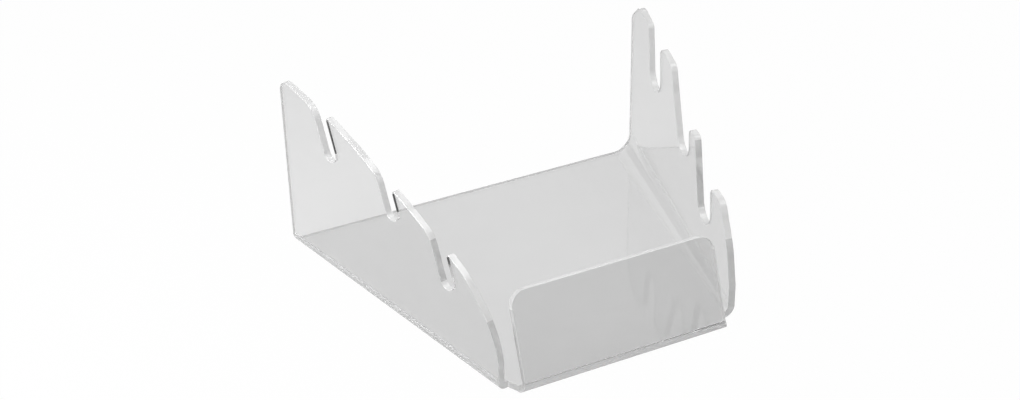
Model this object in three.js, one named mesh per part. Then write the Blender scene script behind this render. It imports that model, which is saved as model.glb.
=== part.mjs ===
// Display stand for three knives, laser-cut and heat-bent from one sheet of clear acrylic.
// Millimetres, +X to the right, -Y to the front, +Z up. The stand rests on z = 0 and its
// bounding box is centred on the Z axis. The flats and the bends of the sheet are separate
// pieces that meet face to face, as the stand has no joint that moves.

import * as THREE from 'three';

const degrees = THREE.MathUtils.degToRad;

// Sheet and bends. The sign panel's bend is the sharpest. The right side's bend opens out
// towards the rear, to the second radius.
const SHEET = 3;
const SIDE_INSIDE_RADIUS = 2.5;
const RIGHT_REAR_INSIDE_RADIUS = 8;
const SIGN_INSIDE_RADIUS = 0.5;
const SIDE_BEND = degrees(90);

// Base, measured to the sharp corners where the outer faces would meet
const BASE_DEPTH = 150;
const REAR_WIDTH = 177;
const FRONT_WIDTH = 108.5;

// Sign panel, bent up along the front edge and leaning back over the base
const SIGN_WIDTH = 93.5;
const SIGN_LENGTH = 43.3;
const SIGN_LEAN = degrees(20.5);
const SIGN_CORNER_RADIUS = 7;

// Front corners of the sheet, cut off slantwise: what the cut takes of each side fold and of
// the sign panel's fold
const SIDE_CUT = 4.5;
const SIGN_CUT = 1.2;

// Smoothness of the round outlines and of the bends, and the distance that counts as no distance
const ARC_STEP = degrees(10);
const BEND_STEP = degrees(7.5);
const SAME_POINT = 0.001;

// Sides. The height is that of the left side's rear top corner before it is rounded.
// The left slots are narrow and hold the blades, the right ones are wide and hold the handles.
const SIDE_HEIGHT = 84;
const LEFT_SLOT_WIDTH = 8.6;
const RIGHT_SLOT_WIDTH = 16;

// Side outlines. along is a share of the fold's length, from the rear edge to the front.
// up and radius are shares of the side's height. A slot is given by the centre of its round
// end and by the lean of its rear and front wall, top towards the rear. A tine runs from its
// tip, on the slot behind it, along its top edge to its shoulder, on the slot in front of it.
const LEFT_OUTLINE = {
  slots: [
    { along: 0.237, up: 0.739, rearLean: degrees(20), frontLean: degrees(20) },
    { along: 0.524, up: 0.636, rearLean: degrees(20), frontLean: degrees(20) },
    { along: 0.765, up: 0.451, rearLean: degrees(20), frontLean: degrees(20) },
  ],
  rearCorner: [{ along: 0, up: 1, radius: 0.06 }],
  tines: [
    { tip: 0.943, tipRadius: 0.014, top: [{ along: 0.374, up: 0.858, radius: 0.7 }] },
    { tip: 0.768, tipRadius: 0.014, top: [{ along: 0.617, up: 0.706, radius: 0.7 }] },
    { tip: 0.617, tipRadius: 0.014, top: [{ along: 0.84, up: 0.548, radius: 0.48 }] },
  ],
  shoulders: [
    { up: 0.945, radius: 0.14 },
    { up: 0.787, radius: 0.14 },
    { up: 0.643, radius: 0.14 },
  ],
  front: [
    { along: 0.944, up: 0.369, radius: 0.47 },
    { along: 0.979, up: 0.208, radius: 0.28 },
  ],
};

const RIGHT_OUTLINE = {
  slots: [
    { along: 0.243, up: 0.723, rearLean: degrees(9), frontLean: degrees(5) },
    { along: 0.52, up: 0.599, rearLean: degrees(22), frontLean: degrees(5) },
    { along: 0.722, up: 0.393, rearLean: degrees(14), frontLean: degrees(6) },
  ],
  rearCorner: [
    { along: 0, up: 0.881, radius: 0.07 },
    { along: 0.073, up: 0.988, radius: 0.095 },
  ],
  tines: [
    { tip: 0.931, tipRadius: 0.04, top: [] },
    { tip: 0.705, tipRadius: 0.03, top: [] },
    { tip: 0.55, tipRadius: 0.03, top: [{ along: 0.847, up: 0.55, radius: 0.083 }] },
  ],
  shoulders: [
    { up: 0.955, radius: 0.03 },
    { up: 0.907, radius: 0.06 },
    { up: 0.7, radius: 0.036 },
  ],
  front: [
    { along: 0.923, up: 0.357, radius: 0.3 },
    { along: 0.955, up: 0.167, radius: 0.18 },
  ],
};

// Angle between each side fold and the centre line of the stand
const FLARE = Math.atan((REAR_WIDTH - FRONT_WIDTH) / 2 / BASE_DEPTH);
const SIGN_BEND = degrees(90) + SIGN_LEAN;
const SIDE_OUTSIDE_RADIUS = SIDE_INSIDE_RADIUS + SHEET;
const SIGN_OUTSIDE_RADIUS = SIGN_INSIDE_RADIUS + SHEET;

// From the sharp corner of the outer faces to where the sign panel's bend starts and ends
const SIGN_SETBACK = SIGN_OUTSIDE_RADIUS * Math.tan(SIGN_BEND / 2);

// Sign panel's fold along a side fold, from the corner where the outer faces of the side and
// the base would meet at the rear edge
const SIDE_FRONT = (BASE_DEPTH - SIGN_SETBACK) / Math.cos(FLARE) + SIDE_OUTSIDE_RADIUS * Math.tan(FLARE);

// Half width of the flat base at the sign panel's fold
const BASE_FRONT_HALF = REAR_WIDTH / 2 - SIDE_OUTSIDE_RADIUS / Math.cos(FLARE)
  - (BASE_DEPTH - SIGN_SETBACK) * Math.tan(FLARE);

// The bounding box reaches from the front of the sign panel's bend to the rear edges of the sides
const FRONT_REACH = SIGN_SETBACK - SIGN_OUTSIDE_RADIUS;
const REAR_REACH = BASE_DEPTH + SHEET * Math.sin(FLARE);

const acrylic = (opacity) => new THREE.MeshStandardMaterial({
  color: 0xdde0e1,
  roughness: 0.05,
  metalness: 0,
  transparent: true,
  opacity,
});

// Outline of straight lines through the corners, each corner rounded by its own radius
function roundedOutline(corners) {
  const points = [];
  corners.forEach((corner, index) => {
    const here = new THREE.Vector2(corner.u, corner.v);
    const last = corners.at(index - 1);
    const next = corners[(index + 1) % corners.length];
    const arriving = here.clone().sub(new THREE.Vector2(last.u, last.v)).normalize();
    const leaving = new THREE.Vector2(next.u, next.v).sub(here).normalize();
    const turn = Math.atan2(arriving.cross(leaving), arriving.dot(leaving));
    const radius = corner.radius ?? 0;
    const start = here.clone().addScaledVector(arriving, -radius * Math.tan(Math.abs(turn) / 2));
    const inward = new THREE.Vector2(-arriving.y, arriving.x).multiplyScalar(Math.sign(turn) * radius);
    const centre = start.clone().add(inward);
    const steps = radius > 0 ? Math.ceil(Math.abs(turn) / ARC_STEP) : 0;
    for (let i = 0; i <= steps; i += 1) {
      const point = start.clone().rotateAround(centre, steps > 0 ? turn * i / steps : 0);
      if (points.length === 0 || points.at(-1).distanceTo(point) > SAME_POINT) {
        points.push(point);
      }
    }
  });
  return new THREE.Shape(points);
}

function extrudedSheet(shape) {
  return new THREE.ExtrudeGeometry(shape, {
    depth: SHEET,
    bevelEnabled: false,
  });
}

// Point of a side outline, in millimetres: u runs forward along the fold, v is the height
function outlineCorner({ along, up, radius }) {
  return { u: along * SIDE_FRONT, v: up * SIDE_HEIGHT, radius: radius * SIDE_HEIGHT };
}

// Point at a height on the rear or the front wall of a slot
function onRearWall(end, reach, lean, height) {
  const footU = end.u - reach * Math.cos(lean);
  const footV = end.v - reach * Math.sin(lean);
  return footU - (height - footV) * Math.tan(lean);
}

function onFrontWall(end, reach, lean, height) {
  const footU = end.u + reach * Math.cos(lean);
  const footV = end.v + reach * Math.sin(lean);
  return footU - (height - footV) * Math.tan(lean);
}

// Two corners that make the round end of a slot, tangent to both walls
function slotEnd(end, reach, { rearLean, frontLean }) {
  const sweep = degrees(180) + frontLean - rearLean;
  const toCorner = reach / Math.cos(sweep / 4);
  return [1, 3].map((quarter) => {
    const angle = degrees(180) + rearLean + quarter * sweep / 4;
    return { u: end.u + toCorner * Math.cos(angle), v: end.v + toCorner * Math.sin(angle), radius: reach };
  });
}

function sideCorners({ slots, rearCorner, tines, shoulders, front }, slotWidth, rearOutsideRadius) {
  const reach = slotWidth / 2;
  const corners = [{ u: 0, v: rearOutsideRadius }, ...rearCorner.map(outlineCorner)];
  slots.forEach((slot, index) => {
    const end = outlineCorner(slot);
    const shoulder = shoulders[index];
    const shoulderHeight = shoulder.up * SIDE_HEIGHT;
    const { tip, tipRadius, top } = tines[index];
    const tipHeight = tip * SIDE_HEIGHT;
    corners.push({
      u: onRearWall(end, reach, slot.rearLean, shoulderHeight),
      v: shoulderHeight,
      radius: shoulder.radius * SIDE_HEIGHT,
    });
    corners.push(...slotEnd(end, reach, slot));
    corners.push({
      u: onFrontWall(end, reach, slot.frontLean, tipHeight),
      v: tipHeight,
      radius: tipRadius * SIDE_HEIGHT,
    });
    corners.push(...top.map(outlineCorner));
  });
  corners.push(...front.map(outlineCorner));
  corners.push({ u: frontEdge(front), v: SIDE_OUTSIDE_RADIUS });
  return corners;
}

function frontEdge(front) {
  return front.at(-1).along * SIDE_FRONT;
}

// Bent strip of sheet. The fold runs along x between two ends, which may differ in radius.
// The flat base lies on the +y side of an end's start, and the strip curls up on the -y side.
// along(angle) gives an end's place along the fold.
function bentStrip(sweep, ends) {
  const steps = Math.ceil(sweep / BEND_STEP);
  const positions = [];
  for (let i = 0; i <= steps; i += 1) {
    const angle = sweep * i / steps;
    [SHEET, 0].forEach((thickness) => {
      ends.forEach(({ insideRadius, start, along }) => {
        const radius = insideRadius + thickness;
        const height = insideRadius + SHEET - radius * Math.cos(angle);
        positions.push(along(angle), start - radius * Math.sin(angle), height);
      });
    });
  }
  // Each station has four points: outside low x, outside high x, inside low x, inside high x
  const faces = [];
  const quad = (a, b, c, d) => faces.push(a, b, c, a, c, d);
  const last = 4 * steps;
  quad(0, 2, 3, 1);
  for (let here = 0; here < last; here += 4) {
    const next = here + 4;
    quad(here, here + 1, next + 1, next);
    quad(here + 2, next + 2, next + 3, here + 3);
    quad(here, next, next + 2, here + 2);
    quad(here + 1, here + 3, next + 3, next + 1);
  }
  quad(last, last + 1, last + 3, last + 2);
  const geometry = new THREE.BufferGeometry();
  geometry.setAttribute('position', new THREE.Float32BufferAttribute(positions, 3));
  geometry.setIndex(faces);
  geometry.computeVertexNormals();
  return geometry;
}

function basePanel() {
  const rearEnd = (insideRadius) => REAR_WIDTH / 2 - (insideRadius + SHEET) / Math.cos(FLARE);
  const cutHalf = BASE_FRONT_HALF + SIDE_CUT * Math.sin(FLARE);
  const cutDepth = SIGN_SETBACK + SIDE_CUT * Math.cos(FLARE);
  const shape = new THREE.Shape([
    new THREE.Vector2(-rearEnd(SIDE_INSIDE_RADIUS), BASE_DEPTH),
    new THREE.Vector2(-cutHalf, cutDepth),
    new THREE.Vector2(-BASE_FRONT_HALF + SIGN_CUT, SIGN_SETBACK),
    new THREE.Vector2(BASE_FRONT_HALF - SIGN_CUT, SIGN_SETBACK),
    new THREE.Vector2(cutHalf, cutDepth),
    new THREE.Vector2(rearEnd(RIGHT_REAR_INSIDE_RADIUS), BASE_DEPTH),
  ]);
  const mesh = new THREE.Mesh(extrudedSheet(shape), acrylic(0.35));
  mesh.name = 'base_panel';
  return mesh;
}

function signPanel() {
  const half = SIGN_WIDTH / 2;
  const shape = roundedOutline([
    { u: -half, v: SIGN_SETBACK },
    { u: half, v: SIGN_SETBACK },
    { u: half, v: SIGN_LENGTH, radius: SIGN_CORNER_RADIUS },
    { u: -half, v: SIGN_LENGTH, radius: SIGN_CORNER_RADIUS },
  ]);
  const mesh = new THREE.Mesh(extrudedSheet(shape).translate(0, 0, -SHEET), acrylic(0.4));
  mesh.name = 'front_sign_panel';
  mesh.rotation.x = degrees(90) - SIGN_LEAN;
  return mesh;
}

function signBend() {
  const half = (angle) => (
    THREE.MathUtils.lerp(BASE_FRONT_HALF - SIGN_CUT, SIGN_WIDTH / 2, angle / SIGN_BEND)
  );
  const end = (hand) => ({
    insideRadius: SIGN_INSIDE_RADIUS,
    start: SIGN_SETBACK,
    along: (angle) => hand * half(angle),
  });
  const mesh = new THREE.Mesh(bentStrip(SIGN_BEND, [end(-1), end(1)]), acrylic(0.4));
  mesh.name = 'front_bend';
  return mesh;
}

// One flared side: its panel and its bend. Hand is 1 on the left and -1 on the right,
// where the outline is laid out the other way along x. The outer face lies on y = 0.
function flaredSide(name, hand, outline, slotWidth, rearInsideRadius) {
  const rearOutsideRadius = rearInsideRadius + SHEET;
  const corners = sideCorners(outline, slotWidth, rearOutsideRadius);
  const shape = roundedOutline(corners.map((corner) => ({ ...corner, u: hand * corner.u })));
  const panel = new THREE.Mesh(extrudedSheet(shape), acrylic(0.35));
  panel.name = `${name}_side_panel`;
  panel.rotation.x = degrees(90);
  panel.position.y = SHEET;

  const rearEnd = {
    insideRadius: rearInsideRadius,
    start: rearOutsideRadius,
    along: (angle) => hand * rearOutsideRadius * Math.tan(FLARE) * (1 - Math.sin(angle)),
  };
  const frontEnd = {
    insideRadius: SIDE_INSIDE_RADIUS,
    start: SIDE_OUTSIDE_RADIUS,
    along: (angle) => (
      hand * THREE.MathUtils.lerp(SIDE_FRONT - SIDE_CUT, frontEdge(outline.front), angle / SIDE_BEND)
    ),
  };
  const ends = hand > 0 ? [rearEnd, frontEnd] : [frontEnd, rearEnd];
  const bend = new THREE.Mesh(bentStrip(SIDE_BEND, ends), acrylic(0.4));
  bend.name = `${name}_bend`;

  const side = new THREE.Group();
  side.add(panel, bend);
  side.position.x = -hand * REAR_WIDTH / 2;
  side.position.y = BASE_DEPTH;
  side.rotation.z = hand * (FLARE - degrees(90));
  return side;
}

const stand = new THREE.Group();
stand.add(
  basePanel(),
  signBend(),
  signPanel(),
  flaredSide('left', 1, LEFT_OUTLINE, LEFT_SLOT_WIDTH, SIDE_INSIDE_RADIUS),
  flaredSide('right', -1, RIGHT_OUTLINE, RIGHT_SLOT_WIDTH, RIGHT_REAR_INSIDE_RADIUS),
);
stand.position.y = -(FRONT_REACH + REAR_REACH) / 2;

export default stand;
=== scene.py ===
# Looks of the clear acrylic knife stand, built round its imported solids. Lengths are in
# millimetres until a mesh is made, then in metres.
from math import atan, ceil, cos, pi, radians, sin, tan

import bpy
from mathutils import Matrix, Vector

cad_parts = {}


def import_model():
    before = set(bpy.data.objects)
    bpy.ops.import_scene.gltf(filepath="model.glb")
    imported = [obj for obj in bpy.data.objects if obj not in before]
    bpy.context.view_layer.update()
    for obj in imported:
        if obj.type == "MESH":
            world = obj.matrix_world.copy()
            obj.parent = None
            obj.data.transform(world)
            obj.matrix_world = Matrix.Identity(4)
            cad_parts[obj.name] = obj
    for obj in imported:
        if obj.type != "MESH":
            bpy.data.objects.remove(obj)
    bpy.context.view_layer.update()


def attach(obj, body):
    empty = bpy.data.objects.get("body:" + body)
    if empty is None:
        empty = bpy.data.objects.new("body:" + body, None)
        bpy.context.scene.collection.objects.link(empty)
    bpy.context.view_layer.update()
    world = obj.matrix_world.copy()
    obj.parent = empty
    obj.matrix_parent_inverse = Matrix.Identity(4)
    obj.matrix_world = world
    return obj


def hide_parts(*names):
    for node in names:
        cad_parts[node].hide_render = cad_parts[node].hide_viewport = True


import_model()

# Sizes, as in the part's source
SHEET = 3
SIDE_INSIDE = 2.5
RIGHT_REAR_INSIDE = 8
SIGN_INSIDE = 0.5
BASE_DEPTH = 150
REAR_WIDTH = 177
FRONT_WIDTH = 108.5
SIGN_WIDTH = 93.5
SIGN_LENGTH = 43.3
SIGN_LEAN = radians(20.5)
SIGN_CORNER = 7
SIDE_CUT = 4.5
SIGN_CUT = 1.2
SIDE_HEIGHT = 84

# Chamfer of the cut edges, and steps of the round stretches
CHAMFER = 0.22
ARC_STEP = radians(3)

# Points nearer than SAME_POINT are one point. Walls run straight on where the cross product of
# their normals is less than STRAIGHT_ON. An edge is sharp where its faces turn by SHARP_TURN.
SAME_POINT = 0.001
STRAIGHT_ON = 0.02
SHARP_TURN = radians(25)
MM_PER_METRE = 1000

FLARE = atan((REAR_WIDTH - FRONT_WIDTH) / 2 / BASE_DEPTH)
SIGN_BEND = radians(90) + SIGN_LEAN
SIDE_OUTSIDE = SIDE_INSIDE + SHEET
SIGN_OUTSIDE = SIGN_INSIDE + SHEET
SETBACK = SIGN_OUTSIDE * tan(SIGN_BEND / 2)
SIDE_FRONT = (BASE_DEPTH - SETBACK) / cos(FLARE) + SIDE_OUTSIDE * tan(FLARE)
FRONT_HALF = REAR_WIDTH / 2 - SIDE_OUTSIDE / cos(FLARE) - (BASE_DEPTH - SETBACK) * tan(FLARE)
SHIFT_Y = -(SETBACK - SIGN_OUTSIDE + BASE_DEPTH + SHEET * sin(FLARE)) / 2

# Side outlines, in shares of the fold's length (along) and of the side's height (up, radius).
# A corner is (along, up, radius). For each slot, from the rear to the front, there are:
#   slots: the middle (along, up) of its round foot, and the lean in degrees of its two walls
#   shoulders: the corner (up, radius) at the top of its rear wall
#   tips: the corner (up, radius) at the top of its front wall
#   tops: the next corners of the tine in front of it
# slot_width is in millimetres.
LEFT = {
    "slot_width": 8.6,
    "slots": [(0.237, 0.739, 20, 20), (0.524, 0.636, 20, 20), (0.765, 0.451, 20, 20)],
    "rear": [(0, 1, 0.06)],
    "shoulders": [(0.945, 0.14), (0.787, 0.14), (0.643, 0.14)],
    "tips": [(0.943, 0.014), (0.768, 0.014), (0.617, 0.014)],
    "tops": [[(0.374, 0.858, 0.7)], [(0.617, 0.706, 0.7)], [(0.84, 0.548, 0.48)]],
    "front": [(0.944, 0.369, 0.47), (0.979, 0.208, 0.28)],
}
RIGHT = {
    "slot_width": 16,
    "slots": [(0.243, 0.723, 9, 5), (0.52, 0.599, 22, 5), (0.722, 0.393, 14, 6)],
    "rear": [(0, 0.881, 0.07), (0.073, 0.988, 0.095)],
    "shoulders": [(0.955, 0.03), (0.907, 0.06), (0.7, 0.036)],
    "tips": [(0.931, 0.04), (0.705, 0.03), (0.55, 0.03)],
    "tops": [[], [], [(0.847, 0.55, 0.083)]],
    "front": [(0.923, 0.357, 0.3), (0.955, 0.167, 0.18)],
}


# Outlines
def rounded(corners):
    """Points of the closed line through the corners (u, v, radius), each one rounded."""
    points = []
    for i, (u, v, radius) in enumerate(corners):
        here = Vector((u, v))
        arriving = (here - Vector(corners[i - 1][:2])).normalized()
        leaving = (Vector(corners[(i + 1) % len(corners)][:2]) - here).normalized()
        turn = -arriving.angle_signed(leaving)
        start = here - arriving * radius * tan(abs(turn) / 2)
        side = 1 if turn > 0 else -1
        centre = start + Vector((-arriving.y, arriving.x)) * side * radius
        steps = ceil(abs(turn) / ARC_STEP) if radius else 0
        for step in range(steps + 1):
            turned = start - centre
            turned.rotate(Matrix.Rotation(turn * step / max(steps, 1), 2))
            point = centre + turned
            if not points or (points[-1] - point).length > SAME_POINT:
                points.append(point)
    return points


def walls(outline):
    """The walls of a closed outline, each as its start and its end."""
    return list(zip(outline, outline[1:] + outline[:1]))


def side_corner(along, up, radius):
    return (along * SIDE_FRONT, up * SIDE_HEIGHT, radius * SIDE_HEIGHT)


def side_outline(data, rear_outside):
    """A side panel's outline (along, up), from the rear end of the fold over the tines to its
    front end. The last wall is the one at the fold."""
    reach = data["slot_width"] / 2
    corners = [(0, rear_outside, 0)] + [side_corner(*c) for c in data["rear"]]
    rows = zip(data["slots"], data["shoulders"], data["tips"], data["tops"])
    for (along, up, rear_lean, front_lean), (shoulder, blend), (tip, nose), top in rows:
        u, v, _ = side_corner(along, up, 0)
        rear_lean, front_lean = radians(rear_lean), radians(front_lean)
        sweep = pi + front_lean - rear_lean

        def on_wall(side, lean, height):
            foot_u = u + side * reach * cos(lean)
            foot_v = v + side * reach * sin(lean)
            return foot_u - (height - foot_v) * tan(lean)

        high = shoulder * SIDE_HEIGHT
        corners.append((on_wall(-1, rear_lean, high), high, blend * SIDE_HEIGHT))
        # The round foot is two rounded corners that meet
        for quarter in (1, 3):
            angle = pi + rear_lean + quarter * sweep / 4
            far = reach / cos(sweep / 4)
            corners.append((u + far * cos(angle), v + far * sin(angle), reach))
        high = tip * SIDE_HEIGHT
        corners.append((on_wall(1, front_lean, high), high, nose * SIDE_HEIGHT))
        corners += [side_corner(*c) for c in top]
    corners += [side_corner(*c) for c in data["front"]]
    corners.append((data["front"][-1][0] * SIDE_FRONT, SIDE_OUTSIDE, 0))
    return rounded(corners)


# Meshes
# Places in a piece's list of materials: the sheet's two faces, a face inside the sheet where the
# next piece begins, and the two kinds of cut edge, a darker one with painted shade and a paler
# one with a painted highlight
SKIN, INSIDE, CUT, PAINTED_HIGHLIGHT_CUT = range(4)


def make_piece(name, points, faces, kinds, node, skin):
    """A closed piece. kinds gives the place of each face's material in the piece's list."""
    mesh = bpy.data.meshes.new(name)
    placed = [(x, y + SHIFT_Y, z) for x, y, z in points]
    metres = [[value / MM_PER_METRE for value in point] for point in placed]
    mesh.from_pydata(metres, [], faces)
    for material in (skin, inside, painted_shade_cut_edge, painted_highlight_cut_edge):
        mesh.materials.append(material)
    for face, kind in enumerate(kinds):
        mesh.polygons[face].material_index = kind
    mesh.shade_smooth()
    mesh.set_sharp_from_angle(angle=SHARP_TURN)
    piece = bpy.data.objects.new(name, mesh)
    bpy.context.scene.collection.objects.link(piece)
    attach(piece, "root")
    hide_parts(node)


def inset(outline, cut):
    """The outline moved inward by the chamfer along its cut walls. Wall i starts at point i."""
    normals = []
    for start, end in walls(outline):
        along = (end - start).normalized()
        normals.append(Vector((-along.y, along.x)))
    area = sum(outline[i - 1].cross(outline[i]) for i in range(len(outline)))
    hand = 1 if area > 0 else -1
    moved = []
    for i, point in enumerate(outline):
        a, b = normals[i - 1] * hand, normals[i] * hand
        da, db = CHAMFER * cut[i - 1], CHAMFER * cut[i]
        det = a.cross(b)
        if abs(det) < STRAIGHT_ON:
            step = (a + b).normalized() * max(da, db)
        else:
            step = Vector((da * b.y - db * a.y, db * a.x - da * b.x)) / det
        moved.append(point + step)
    return moved


def panel(name, outline, kinds, place, node):
    """A flat of the sheet. kinds gives the place of each wall's material in the piece's list.
    place(u, v, depth) puts a point of the outline at a depth from the outer face."""
    count = len(outline)
    small = inset(outline, [kind != INSIDE for kind in kinds])
    layers = [(small, 0), (outline, CHAMFER), (outline, SHEET - CHAMFER), (small, SHEET)]
    points = [place(p.x, p.y, depth) for loop, depth in layers for p in loop]
    faces = [list(range(count - 1, -1, -1)), list(range(3 * count, 4 * count))]
    for layer in range(3):
        for i in range(count):
            j = (i + 1) % count
            low, high = layer * count, (layer + 1) * count
            faces.append([low + i, low + j, high + j, high + i])
    make_piece(name, points, outward(points, faces), [SKIN] * 2 + kinds * 3, node, acrylic)


def outward(points, faces):
    """The faces turned so that they face out of the closed piece that they make."""
    volume = 0
    for face in faces:
        a = Vector(points[face[0]])
        for k in range(1, len(face) - 1):
            volume += a.dot(Vector(points[face[k]]).cross(Vector(points[face[k + 1]])))
    return faces if volume > 0 else [face[::-1] for face in faces]


def bend(name, sweep, ends, place, node, skin):
    """A heat-bent strip between two ends (inside radius, start, reach), which may differ.
    start is where the flat base ends and reach(angle) is the end's place along the fold.
    place(along, out, up) puts a point. The strip's section is a ring of points, each given as
    (end, how far back from it, depth from the outer face)."""
    ring = [(0, CHAMFER, 0), (1, CHAMFER, 0), (1, 0, CHAMFER), (1, 0, SHEET - CHAMFER)]
    ring += [(1, CHAMFER, SHEET), (0, CHAMFER, SHEET), (0, 0, SHEET - CHAMFER), (0, 0, CHAMFER)]
    outer_face, inner_face = 0, 4
    steps = ceil(sweep / ARC_STEP)
    points = []
    for i in range(steps + 1):
        angle = sweep * i / steps
        for which, back, depth in ring:
            inside_radius, start, reach = ends[which]
            radius = inside_radius + SHEET - depth
            along = reach(angle) + (-back if which else back)
            up = inside_radius + SHEET - radius * cos(angle)
            points.append(place(along, start - radius * sin(angle), up))
    size = len(ring)
    last = size * steps
    faces = [list(range(size)), list(range(last + size - 1, last - 1, -1))]
    kinds = [INSIDE, INSIDE]
    for here in range(0, last, size):
        for k in range(size):
            j = (k + 1) % size
            # The strip's cut edges get the darker cut edge, a painted shade
            kinds.append(SKIN if k in (outer_face, inner_face) else CUT)
            faces.append([here + k, here + size + k, here + size + j, here + j])
    make_piece(name, points, outward(points, faces), kinds, node, skin)


# Materials
ACRYLIC_IOR = 1.49
LIGHT_THROUGH = 0.9


def grey(share):
    return (share, share, share, 1)


def material_with(name):
    material = bpy.data.materials.new(name)
    material.use_nodes = True
    tree = material.node_tree
    tree.nodes.clear()
    output = tree.nodes.new("ShaderNodeOutputMaterial")
    return material, tree, output


def letting_light_through(tree, shader, output):
    """The floor is lit through the sheet, so its shadow is pale, as that of clear acrylic."""
    path = tree.nodes.new("ShaderNodeLightPath")
    through = tree.nodes.new("ShaderNodeBsdfTransparent")
    through.inputs["Color"].default_value = grey(LIGHT_THROUGH)
    shown = shader.outputs["BSDF"]
    for kind in ("Is Diffuse Ray", "Is Shadow Ray"):
        mix = tree.nodes.new("ShaderNodeMixShader")
        tree.links.new(path.outputs[kind], mix.inputs[0])
        tree.links.new(shown, mix.inputs[1])
        tree.links.new(through.outputs["BSDF"], mix.inputs[2])
        shown = mix.outputs["Shader"]
    tree.links.new(shown, output.inputs["Surface"])


def acrylic_material(name, roughness, clear, grain, greys):
    """clear is the share of the light that passes; the rest is scattered, as in a milky glass.
    The colour varies between the two greys in a noise of the scale grain."""
    material, tree, output = material_with(name)
    shader = tree.nodes.new("ShaderNodeBsdfPrincipled")
    shader.inputs["IOR"].default_value = ACRYLIC_IOR
    shader.inputs["Roughness"].default_value = roughness
    shader.inputs["Transmission Weight"].default_value = clear
    noise = tree.nodes.new("ShaderNodeTexNoise")
    noise.inputs["Scale"].default_value = grain
    ramp = tree.nodes.new("ShaderNodeValToRGB")
    for stop, share in zip(ramp.color_ramp.elements, greys):
        stop.color = grey(share)
    tree.links.new(noise.outputs["Fac"], ramp.inputs["Fac"])
    tree.links.new(ramp.outputs["Color"], shader.inputs["Base Color"])
    letting_light_through(tree, shader, output)
    return material


def sheet_inside():
    """The inside of the sheet, where two pieces of it meet: nothing shows there."""
    material, tree, output = material_with("sheet_inside")
    shader = tree.nodes.new("ShaderNodeBsdfTransparent")
    tree.links.new(shader.outputs["BSDF"], output.inputs["Surface"])
    return material


acrylic = acrylic_material("clear_acrylic", roughness=0.02, clear=1, grain=9, greys=(0.86, 0.9))
# The heat-bent strips and the cut edges are a little milky, the tight bends more than the wide
# one. The cut edge comes in two copies: a darker grey one, a painted shade, and a paler, milkier
# one, a painted highlight, which goes on walls that face up
tight_bend = acrylic_material("tight_bend_acrylic", roughness=0.08, clear=0.62, grain=30,
                              greys=(0.85, 0.9))
wide_bend = acrylic_material("wide_bend_acrylic", roughness=0.04, clear=0.96, grain=30,
                             greys=(0.84, 0.9))
# Darker grey copy of the cut edge: painted shade
painted_shade_cut_edge = acrylic_material("laser_cut_edge_painted_shade", roughness=0.03, clear=0.58, grain=60,
                            greys=(0.72, 0.88))
# Paler, milkier copy of the cut edge: a painted highlight
painted_highlight_cut_edge = acrylic_material("painted_highlight_cut_edge", roughness=0.03, clear=0.3, grain=60,
                                 greys=(0.8, 0.92))
inside = sheet_inside()


# Pieces
# A cut wall of a side faces up where it runs along by more than this share of its rise or fall.
# The rear tines reach this share of the fold's length. Both get the paler cut edge, a painted
# highlight
FACES_UP = 0.7
REAR_TINES = 0.6


def side_wall_kind(start, end, clear_slots):
    """The cut walls that face up and those of the rear tines get the paler cut edge, a painted
    highlight, and the others the darker one, a painted shade. With clear_slots the slots' walls
    that face the rear are as clear as the sheet. The rear edge is neither."""
    along = end - start
    if clear_slots and start.x > SHEET and along.y > abs(along.x):
        return SKIN
    faces_up = along.x > FACES_UP * abs(along.y)
    on_rear_tines = SHEET < start.x < REAR_TINES * SIDE_FRONT
    # Painted highlight on the walls that face up and on the rear tines, painted shade on the rest
    return PAINTED_HIGHLIGHT_CUT if start.y > SIDE_OUTSIDE and (faces_up or on_rear_tines) else CUT


def flared_side(name, hand, data, rear_inside, skin, clear_slots):
    """hand is 1 on the left and -1 on the right. The outer face lies on out = 0."""
    forward = Vector((hand * sin(FLARE), -cos(FLARE)))
    inward = Vector((hand * cos(FLARE), sin(FLARE)))
    corner = Vector((-hand * REAR_WIDTH / 2, BASE_DEPTH))
    rear_outside = rear_inside + SHEET
    front_edge = data["front"][-1][0] * SIDE_FRONT

    def place(along, out, up):
        spot = corner + forward * along + inward * out
        return (spot.x, spot.y, up)

    def rear_end(angle):
        return rear_outside * tan(FLARE) * (1 - sin(angle))

    def front_end(angle):
        share = angle / (pi / 2)
        return (SIDE_FRONT - SIDE_CUT) * (1 - share) + front_edge * share

    outline = side_outline(data, rear_outside)
    kinds = [side_wall_kind(*wall, clear_slots) for wall in walls(outline)[:-1]] + [INSIDE]

    def on_panel(u, v, depth):
        return place(u, depth, v)

    panel(f"{name}_side", outline, kinds, on_panel, f"{name}_side_panel")
    ends = [(rear_inside, rear_outside, rear_end), (SIDE_INSIDE, SIDE_OUTSIDE, front_end)]
    bend(f"{name}_fold", pi / 2, ends, place, f"{name}_bend", skin)


def unmoved(x, y, z):
    return (x, y, z)


def base():
    def rear_half(inside_radius):
        return REAR_WIDTH / 2 - (inside_radius + SHEET) / cos(FLARE)

    cut_half = FRONT_HALF + SIDE_CUT * sin(FLARE)
    cut_depth = SETBACK + SIDE_CUT * cos(FLARE)
    front = [(cut_half, cut_depth), (FRONT_HALF - SIGN_CUT, SETBACK)]
    corners = [(rear_half(RIGHT_REAR_INSIDE), BASE_DEPTH)] + front
    corners += [(-x, y) for x, y in reversed(front)] + [(-rear_half(SIDE_INSIDE), BASE_DEPTH)]
    # The rear edge gets the paler cut edge, a painted highlight; the front cut edges the darker
    # one, a painted shade
    kinds = [INSIDE, CUT, INSIDE, CUT, INSIDE, PAINTED_HIGHLIGHT_CUT]
    outline = [Vector(corner) for corner in corners]
    panel("base", outline, kinds, unmoved, "base_panel")


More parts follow.
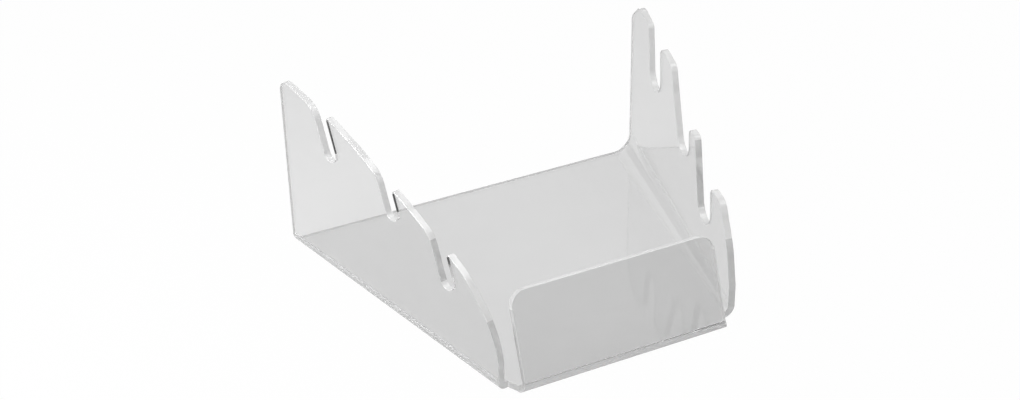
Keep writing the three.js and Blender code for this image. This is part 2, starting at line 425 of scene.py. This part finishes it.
def sign():
    half = SIGN_WIDTH / 2
    corners = [(-half, SETBACK, 0), (half, SETBACK, 0)]
    corners += [(half, SIGN_LENGTH, SIGN_CORNER), (-half, SIGN_LENGTH, SIGN_CORNER)]
    outline = rounded(corners)
    # The top edge and its round corners get the paler cut edge, a painted highlight; the rest
    # the darker one, a painted shade
    sides_end = SIGN_LENGTH - SIGN_CORNER - SAME_POINT
    kinds = [INSIDE]
    for start, end in walls(outline)[1:]:
        kinds.append(PAINTED_HIGHLIGHT_CUT if min(start.y, end.y) > sides_end else CUT)

    def on_panel(u, v, depth):
        y = v * sin(SIGN_LEAN) + depth * cos(SIGN_LEAN)
        z = v * cos(SIGN_LEAN) - depth * sin(SIGN_LEAN)
        return (u, y, z)

    def right_end(angle):
        share = angle / SIGN_BEND
        return (FRONT_HALF - SIGN_CUT) * (1 - share) + half * share

    def left_end(angle):
        return -right_end(angle)

    panel("sign", outline, kinds, on_panel, "front_sign_panel")
    ends = [(SIGN_INSIDE, SETBACK, left_end), (SIGN_INSIDE, SETBACK, right_end)]
    bend("sign_fold", SIGN_BEND, ends, unmoved, "front_bend", tight_bend)


base()
sign()
flared_side("left", 1, LEFT, SIDE_INSIDE, tight_bend, True)
flared_side("right", -1, RIGHT, RIGHT_REAR_INSIDE, wide_bend, False)


# Floor and light
FLOOR_GREY = 0.72
FLOOR_REACH = 3
FLOOR_DROP = 0.0002
# Share of white that each kind of ray sees on the floor. A refracted ray is of the last two kinds.
FLOOR_WHITENESS = {"Is Camera Ray": 0.97, "Is Glossy Ray": 0.2, "Is Transmission Ray": 0.2}
# Grey of the studio at each height, the sine of the angle above the horizon
STUDIO = [(0.08, 0.03), (0.15, 0.4), (0.25, 0.2), (0.42, 0.2), (0.48, 0.97), (0.6, 0.97),
          (0.7, 0.4)]


def floor_material():
    """Pale grey floor. The camera sees it as white, as the photo's background is. Reflections and
    the clear sheet show it whiter than it is too, and keep the stand's shadow."""
    material, tree, output = material_with("floor")
    path = tree.nodes.new("ShaderNodeLightPath")
    shader = tree.nodes.new("ShaderNodeBsdfDiffuse")
    shader.inputs["Color"].default_value = grey(FLOOR_GREY)
    white = tree.nodes.new("ShaderNodeEmission")
    white.inputs["Color"].default_value = grey(1)
    white.inputs["Strength"].default_value = 1
    shown = shader.outputs["BSDF"]
    for kind, whiteness in FLOOR_WHITENESS.items():
        share = tree.nodes.new("ShaderNodeMath")
        share.operation = "MULTIPLY"
        share.inputs[1].default_value = whiteness
        mix = tree.nodes.new("ShaderNodeMixShader")
        tree.links.new(path.outputs[kind], share.inputs[0])
        tree.links.new(share.outputs["Value"], mix.inputs[0])
        tree.links.new(shown, mix.inputs[1])
        tree.links.new(white.outputs["Emission"], mix.inputs[2])
        shown = mix.outputs["Shader"]
    tree.links.new(shown, output.inputs["Surface"])
    return material


def floor():
    reach = FLOOR_REACH
    mesh = bpy.data.meshes.new("floor")
    corners = [(-reach, -reach), (reach, -reach), (reach, reach), (-reach, reach)]
    mesh.from_pydata([(x, y, -FLOOR_DROP) for x, y in corners], [], [(0, 1, 2, 3)])
    mesh.materials.append(floor_material())
    piece = bpy.data.objects.new("floor", mesh)
    bpy.context.scene.collection.objects.link(piece)


def world():
    studio = bpy.data.worlds.new("studio")
    bpy.context.scene.world = studio
    studio.use_nodes = True
    tree = studio.node_tree
    tree.nodes.clear()
    output = tree.nodes.new("ShaderNodeOutputWorld")
    background = tree.nodes.new("ShaderNodeBackground")
    coordinates = tree.nodes.new("ShaderNodeTexCoord")
    split = tree.nodes.new("ShaderNodeSeparateXYZ")
    ramp = tree.nodes.new("ShaderNodeValToRGB")
    stops = ramp.color_ramp.elements
    lowest, *between, highest = STUDIO
    for stop, (height, share) in zip(stops, (lowest, highest)):
        stop.position, stop.color = height, grey(share)
    for height, share in between:
        stops.new(height).color = grey(share)
    tree.links.new(coordinates.outputs["Generated"], split.inputs["Vector"])
    tree.links.new(split.outputs["Z"], ramp.inputs["Fac"])
    tree.links.new(ramp.outputs["Color"], background.inputs["Color"])
    tree.links.new(background.outputs["Background"], output.inputs["Surface"])


def lamp(name, location, size, power):
    """A square lamp that faces the middle of the stand's base."""
    light = bpy.data.lights.new(name, "AREA")
    light.shape = "SQUARE"
    light.size = size
    light.energy = power
    lit = bpy.data.objects.new(name, light)
    lit.location = location
    lit.rotation_euler = (-Vector(location)).to_track_quat("-Z", "Y").to_euler()
    bpy.context.scene.collection.objects.link(lit)


floor()
world()
lamp("key", location=(-0.45, 0, 0.45), size=0.3, power=2.3)
lamp("fill", location=(0.5, -0.05, 0.75), size=0.5, power=2.1)


# Camera, fitted to the photo: the frame, lens and shifts in its pixels, the place in metres
FRAME_WIDTH = 1020
LENS_PIXELS = 1787.075
SHIFT_PIXELS = (-32.554, -19.258)
SENSOR = 36
CAMERA_PLACE = (-0.29856, -0.58089, 0.43439)
CAMERA_RIGHT = (0.88784, -0.4601, -0.00627)
CAMERA_UP = (0.23966, 0.45075, 0.85988)
CAMERA_AHEAD = (0.39281, 0.76494, -0.51047)


def photo_camera():
    lens = bpy.data.cameras.new("camera")
    lens.sensor_fit = "HORIZONTAL"
    lens.sensor_width = SENSOR
    lens.lens = LENS_PIXELS * SENSOR / FRAME_WIDTH
    lens.shift_x, lens.shift_y = (shift / FRAME_WIDTH for shift in SHIFT_PIXELS)
    camera = bpy.data.objects.new("camera", lens)
    axes = (Vector(CAMERA_RIGHT), Vector(CAMERA_UP), -Vector(CAMERA_AHEAD))
    turned = Matrix(axes).transposed().to_4x4()
    camera.matrix_world = Matrix.Translation(CAMERA_PLACE) @ turned
    bpy.context.scene.collection.objects.link(camera)
    bpy.context.scene.camera = camera


photo_camera()
bpy.context.scene.view_settings.view_transform = "Standard"

# Light runs far inside a clear sheet before it leaves at an edge
BOUNCES = 64
cycles = bpy.context.scene.cycles
cycles.max_bounces = BOUNCES
cycles.glossy_bounces = BOUNCES
cycles.transmission_bounces = BOUNCES

bpy.context.view_layer.update()
